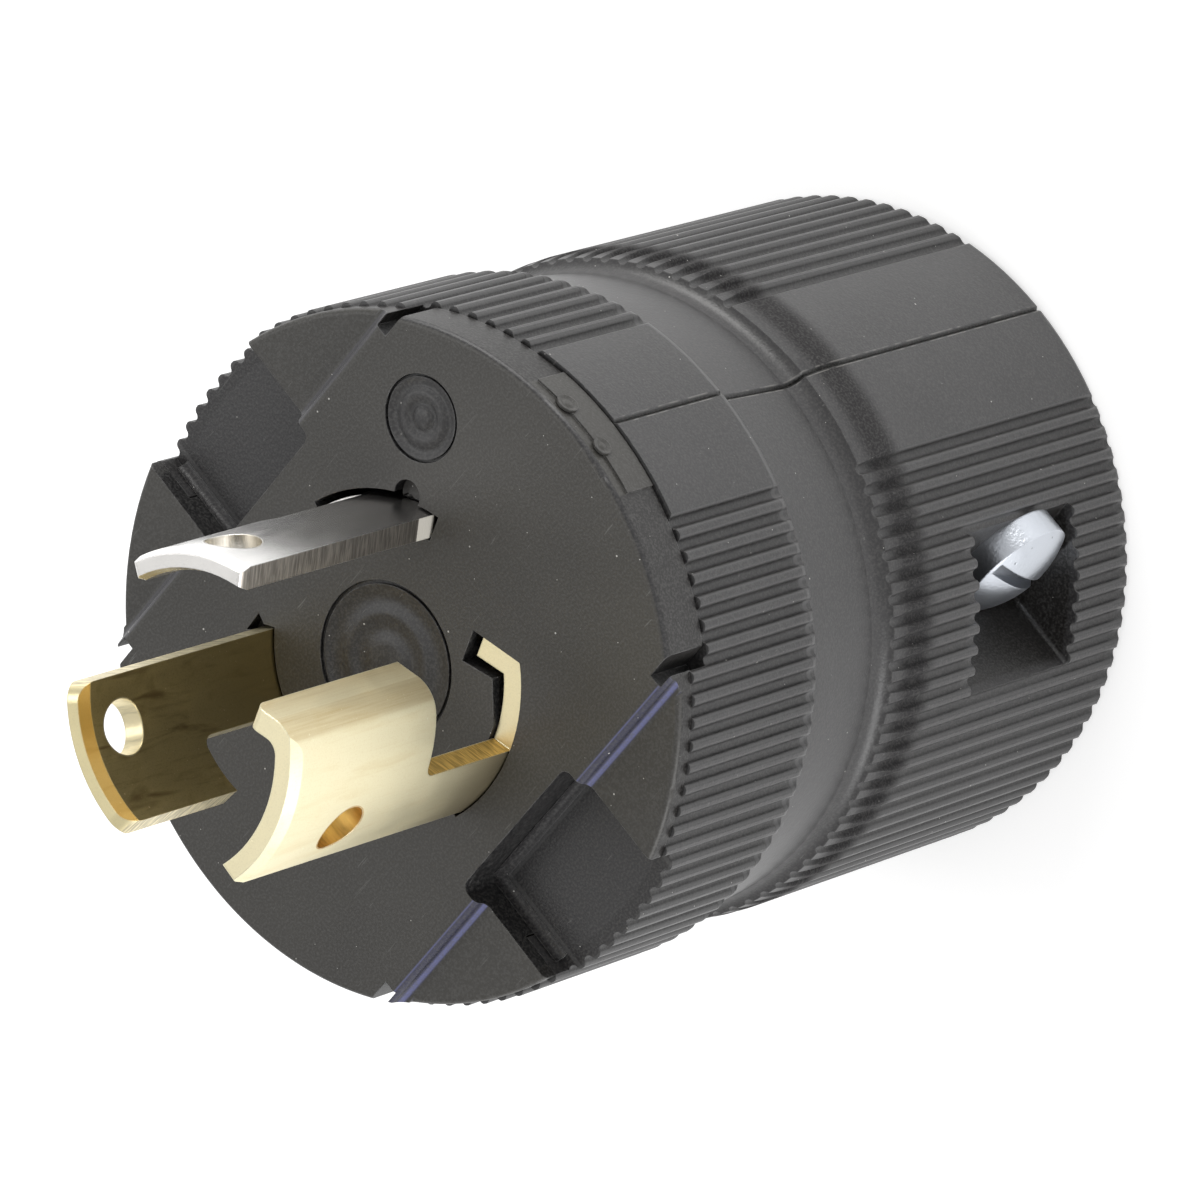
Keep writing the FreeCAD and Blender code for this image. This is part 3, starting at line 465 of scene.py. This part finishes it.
def close_piece(piece, name, finish):
    """Puts the piece's place in its mesh, and gives it its finish, body and slot."""
    piece.name = name
    piece.data.name = name
    apply_place()
    bpy.ops.object.shade_smooth_by_angle(angle=math.radians(50))
    piece.data.materials.append(finish)
    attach(piece, "root")


def mark_dish(name, centre, radius, steps):
    """A dished insert with plain rings in one of the rounds of the face."""
    piece = round_blank(radius, mark_height, (*centre, mark_floor + mark_height / 2), 72)
    inset_steps(piece, steps)
    close_piece(piece, name, core_nylon)


def pad_bead(name, turn, bead_radius):
    """A small bead with a sunk ring and a raised middle, facing out from the pad."""
    reach = body_radius - band_inset + pad_rise + bead_lift
    middle = (reach * math.cos(turn), reach * math.sin(turn), bead_height)
    piece = round_blank(bead_radius, bead_thickness, middle, 40, (0.0, math.pi / 2, turn))
    inset_steps(piece, ((0.08, 0.0), (0.10, -0.05), (0.10, -0.03), (0.08, 0.05), (0.10, 0.03)))
    close_piece(piece, name, core_nylon)


mark_dish("side_mark_dish", centre=(11.65, 7.25), radius=2.24,
          steps=((0.07, 0.0), (0.16, -0.13), (0.36, -0.04), (0.16, 0.12), (0.18, 0.04), (0.20, -0.02),
                 (0.16, -0.12), (0.30, -0.02), (0.12, 0.10), (0.14, 0.04)))
mark_dish("centre_mark_dish", centre=(0.0, 0.0), radius=4.22,
          steps=((0.10, 0.0), (0.20, -0.13), (0.90, -0.03), (0.22, 0.11), (0.40, 0.03), (0.22, -0.11),
                 (0.70, -0.02), (0.24, 0.11), (0.40, 0.03)))
pad_bead("pad_bead_a", turn=math.radians(5.7), bead_radius=0.62)
pad_bead("pad_bead_b", turn=math.radians(-3.4), bead_radius=0.55)

# The floor of the round relief beside the neutral blade: part of the core's
# moulding, a shallow lit dish whose side towards the blade is cut along the slot.
relief_turn = math.radians(33.0)
relief_reach, relief_cut = 9.35, 9.06
relief_radius, relief_height = 0.83, 1.2
relief_depth = 1.3

outwards = (math.cos(relief_turn), math.sin(relief_turn), 0.0)
piece = round_blank(relief_radius, relief_height,
                    (relief_reach * outwards[0], relief_reach * outwards[1], face_z - relief_depth), 48)
inset_steps(piece, ((0.12, -0.08), (0.14, -0.06), (0.16, -0.03)))
apply_place()
bpy.ops.object.mode_set(mode="EDIT")
bpy.ops.mesh.select_all(action="SELECT")
bpy.ops.mesh.bisect(plane_co=tuple(part * relief_cut * millimetre for part in outwards), plane_no=outwards,
                    use_fill=True, clear_inner=True)
bpy.ops.object.mode_set(mode="OBJECT")
close_piece(piece, "slot_relief_floor", core_nylon)

# The rounds at the feet of the two lugs: the black nylon of the body turns up in
# a small cove on three sides, where each lug meets the walls of the core's notch.
# The side towards the rim stays open.
cove_half, cove_start, cove_end = 5.06, 11.54, 17.4
cove_foot = lug_height + 0.01
cove_rise, cove_round, cove_wall = 0.55, 0.50, 0.03
same_place, same_point = 1e-6, 1e-7


def lug_cove(name, side):
    """A thin shell bent up from the notch's floor to its three walls, at y times the side."""
    bpy.ops.object.select_all(action="DESELECT")
    bpy.ops.mesh.primitive_plane_add(
        size=2 * millimetre,
        location=(0.0, side * (cove_start + cove_end) / 2 * millimetre, cove_foot * millimetre))
    piece = bpy.context.object
    piece.scale = (cove_half, (cove_end - cove_start) / 2, 1.0)
    apply_place()

    def along_wall(edge):
        """Whether an edge lies on the floor along one of the three walls."""
        ends = [piece.data.vertices[index].co for index in edge.vertices]
        on_floor = all(end.z < cove_foot * millimetre + same_place for end in ends)
        on_rim = all(abs(end.y - side * cove_end * millimetre) < same_place for end in ends)
        return on_floor and not on_rim

    open_mesh(piece, "EDGE", along_wall)
    bpy.ops.mesh.extrude_region_move(
        TRANSFORM_OT_translate={"value": (0.0, 0.0, cove_rise * millimetre)})
    bpy.ops.object.mode_set(mode="OBJECT")
    open_mesh(piece, "EDGE", along_wall)
    bpy.ops.mesh.bevel(offset=cove_round * millimetre, segments=6, affect="EDGES")
    bpy.ops.mesh.select_all(action="SELECT")
    bpy.ops.mesh.remove_doubles(threshold=same_point)
    bpy.ops.mesh.normals_make_consistent(inside=False)
    bpy.ops.object.mode_set(mode="OBJECT")
    flat_middle = max(piece.data.polygons, key=lambda face: face.area)
    middle_index = flat_middle.index
    if flat_middle.normal.z < 0:
        piece.data.flip_normals()
    open_mesh(piece, "FACE", lambda face: face.index == middle_index)
    bpy.ops.mesh.delete(type="FACE")
    bpy.ops.object.mode_set(mode="OBJECT")
    shell = piece.modifiers.new("shell", "SOLIDIFY")
    shell.thickness = cove_wall * millimetre
    shell.offset = -1.0
    bpy.ops.object.modifier_apply(modifier="shell")
    close_piece(piece, name, housing_nylon)


lug_cove("lug_cove_a", -1)
lug_cove("lug_cove_b", 1)

# The blades: sheared from sheet 1.25 mm thick and rolled to the blade circle.
# One is brass with bright nickel plate, two are bare brass. Faces carry fine
# rolling lines, scratches and handling marks, and sheared edges show striations.
hole_height = face_z + 12.8
hole_wall_reach = 1.6
inner_face_radius = 8.0
past_tips = face_z + 30.0
lock_top = face_z + 7.05
line_blade_length, tip_bevel = 15.8, 0.72
foot_facet_height = 1.05
unturned = (0.0, 0.0, 0.0)

rolled_shade = (0.46, 0.31, 0.11)
tip_bevel_shade = (0.46, 0.28, 0.07)
foot_facet_shade = (0.72, 0.69, 0.62)


def blade_metal(name, hole_turn, face, deep, foot, foot_reach, edge, side, hole, rough, streaks, marks,
                facet=0.0, rolled_from=past_tips, bevel_from=past_tips):
    """Rolled sheet: faces with wear marks, darkening to the foot, striated sheared sides, a drilled hole,
    and bright edges that are part wear and part painted highlight.
    """
    material, graph, place = start_finish(name)
    x, y, z, radius = round_the_axis(place)
    facing_x, facing_y, facing_z = parts_of(graph.node("NewGeometry", {}, {}, "Normal"))

    sideways = abs((facing_y * x - facing_x * y) / radius)
    rolled = between(sideways, 0.40, 0.72, 0.14) * fade(z, rolled_from - 0.1, rolled_from + 0.1)
    on_side = fade(sideways, 0.60, 0.85) * fade(z, rolled_from + 0.1, rolled_from - 0.1)
    on_end = fade(abs(facing_z), 0.45, 0.65)
    across = y * math.cos(hole_turn) - x * math.sin(hole_turn)
    from_hole = (across * across + (z - hole_height) ** 2) ** 0.5
    in_hole = fade(from_hole, hole_wall_reach, hole_wall_reach - 0.05)

    cloud = noise(place, 0.45, 4.0, 0.4)
    smear = noise(stretched(place, unturned, (1.2, 1.2, 0.22)), 1.0, 4.0, 0.6)
    lines = noise(stretched(place, unturned, (9.0, 9.0, 0.25)), 1.0, 3.0)
    grain = noise(place, 11.0, 2.0)
    shear = noise(stretched(place, unturned, (0.8, 0.8, 9.0)), 1.0, 3.0, 0.3)
    nicks = specks(place, 1.1, 0.07, 0.7 * marks) + specks(place, 0.6, 0.04, 0.5 * marks)
    scratches = hairs(place, (0.9, 0.6, 0.4), (0.5, 7.0, 7.0), 0.73, 0.745)
    bright = tuple(min(part * 1.25 + 0.08, 1.0) for part in face)

    base = blend(fade(smear, 0.50, 0.78) * streaks, face, deep)
    base = blend(fade(cloud, 0.55, 0.80) * streaks * 0.5, base, deep)
    base = blend(fade(lines, 0.55, 0.75) * 0.15, base, deep)
    base = blend(fade(grain, 0.45, 0.80) * 0.30, base, deep)
    base = blend(fade(z, face_z + foot_reach, face_z + 0.3) * 0.75, base, foot)
    base = blend(rolled * (lines * 0.4 + 0.2), base, rolled_shade)
    base = blend((nicks + scratches * 0.8) * marks, base, bright)
    base = blend(on_side, base, blend(fade(shear, 0.35, 0.65), side, toned(side, 0.55)))
    base = blend(on_end, base, blend(fade(grain, 0.45, 0.75) * 0.3, edge, toned(edge, 0.8)))
    inner_bevel = fade(z, bevel_from - 0.02, bevel_from + 0.02) \
        * fade(radius, inner_face_radius + 0.02, inner_face_radius - 0.04)
    base = blend(inner_bevel * (1 - on_end) * (1 - on_side) * 0.85, base, tip_bevel_shade)
    base = blend(in_hole, base, blend(fade(shear, 0.4, 0.7) * 0.5, hole, toned(hole, 0.6)))
    # Bright edges, partly wear and partly a painted highlight.
    rounded, worn_and_highlit = eased(graph, 0.10)
    base = blend(worn_and_highlit * 0.7, base, bright)
    foot_facet = between(z, face_z - 0.2, face_z + foot_facet_height, 0.06) * on_side * facet
    base = blend(foot_facet, base, foot_facet_shade)

    roughness = cloud * 0.10 + smear * 0.08 + on_side * 0.12 + rough
    relief = lines * 0.5 + grain * 0.30 + shear * on_side * 1.2 - nicks * 0.8
    close_finish(graph, base, roughness, relief, 0.25, 0.03, rounded, metallic=1 - foot_facet * 0.9)
    return material


paint_node("neutral_blade", blade_metal(
    "nickel_plate", hole_turn=math.radians(41.0), face=(0.92, 0.91, 0.89), deep=(0.74, 0.72, 0.70),
    foot=(0.46, 0.44, 0.43), foot_reach=8.5, edge=(0.94, 0.92, 0.89), side=(0.56, 0.52, 0.47),
    hole=(0.88, 0.84, 0.76), rough=0.15, streaks=0.15, marks=0.6, facet=1.0))
paint_node("line_blade", blade_metal(
    "worn_brass", hole_turn=math.radians(148.3), face=(0.66, 0.53, 0.24), deep=(0.26, 0.18, 0.07),
    foot=(0.56, 0.44, 0.19), foot_reach=8.5, edge=(0.84, 0.74, 0.44), side=(0.86, 0.77, 0.52),
    hole=(0.88, 0.78, 0.50), rough=0.22, streaks=1.0, marks=1.0,
    bevel_from=face_z + line_blade_length - tip_bevel))
paint_node("ground_blade", blade_metal(
    "satin_brass", hole_turn=math.radians(-84.7), face=(0.89, 0.82, 0.57), deep=(0.74, 0.61, 0.34),
    foot=(0.34, 0.28, 0.17), foot_reach=6.0, edge=(0.88, 0.80, 0.54), side=(0.66, 0.45, 0.14),
    hole=(0.66, 0.41, 0.11), rough=0.34, streaks=0.35, marks=0.5, rolled_from=lock_top))

# The terminals behind the face: a screw with a clamp plate and a square nut for
# each wire, the screw of the ground one green. Two zinc plated screws with
# square nuts hold the halves together.


def small_metal(name, shade, rough, metallic):
    """Plated or painted hardware with light handling marks."""
    material, graph, place = start_finish(name)
    cloud = noise(place, 0.6, 4.0)
    grain = noise(place, 5.0, 3.0)
    nicks = specks(place, 0.8, 0.10, 0.5)
    base = blend(fade(cloud, 0.45, 0.80) * 0.6, shade, toned(shade, 0.75))
    base = blend(nicks * 0.7, base, toned(shade, 0.35))
    # Lighter edges, partly wear and partly a painted highlight.
    rounded, worn_and_highlit = eased(graph, 0.12)
    base = blend(worn_and_highlit * 0.6, base, toned(shade, 1.3))
    relief = grain + cloud - nicks
    close_finish(graph, base, cloud * 0.15 + rough, relief, 0.30, 0.06, rounded, metallic)
    return material


zinc_plate = small_metal("zinc_plate", shade=(0.58, 0.61, 0.66), rough=0.24, metallic=1.0)
bare_brass = small_metal("bare_brass", shade=(0.76, 0.60, 0.30), rough=0.25, metallic=1.0)
green_finish = small_metal("green_finish", shade=(0.05, 0.26, 0.11), rough=0.30, metallic=0.3)
for name in nodes:
    if "ground_terminal_screw" in name:
        paint_node(name, green_finish)
    elif "line_terminal_screw" in name:
        paint_node(name, bare_brass)
    elif "clamp" in name or "nut" in name or "screw" in name:
        paint_node(name, zinc_plate)
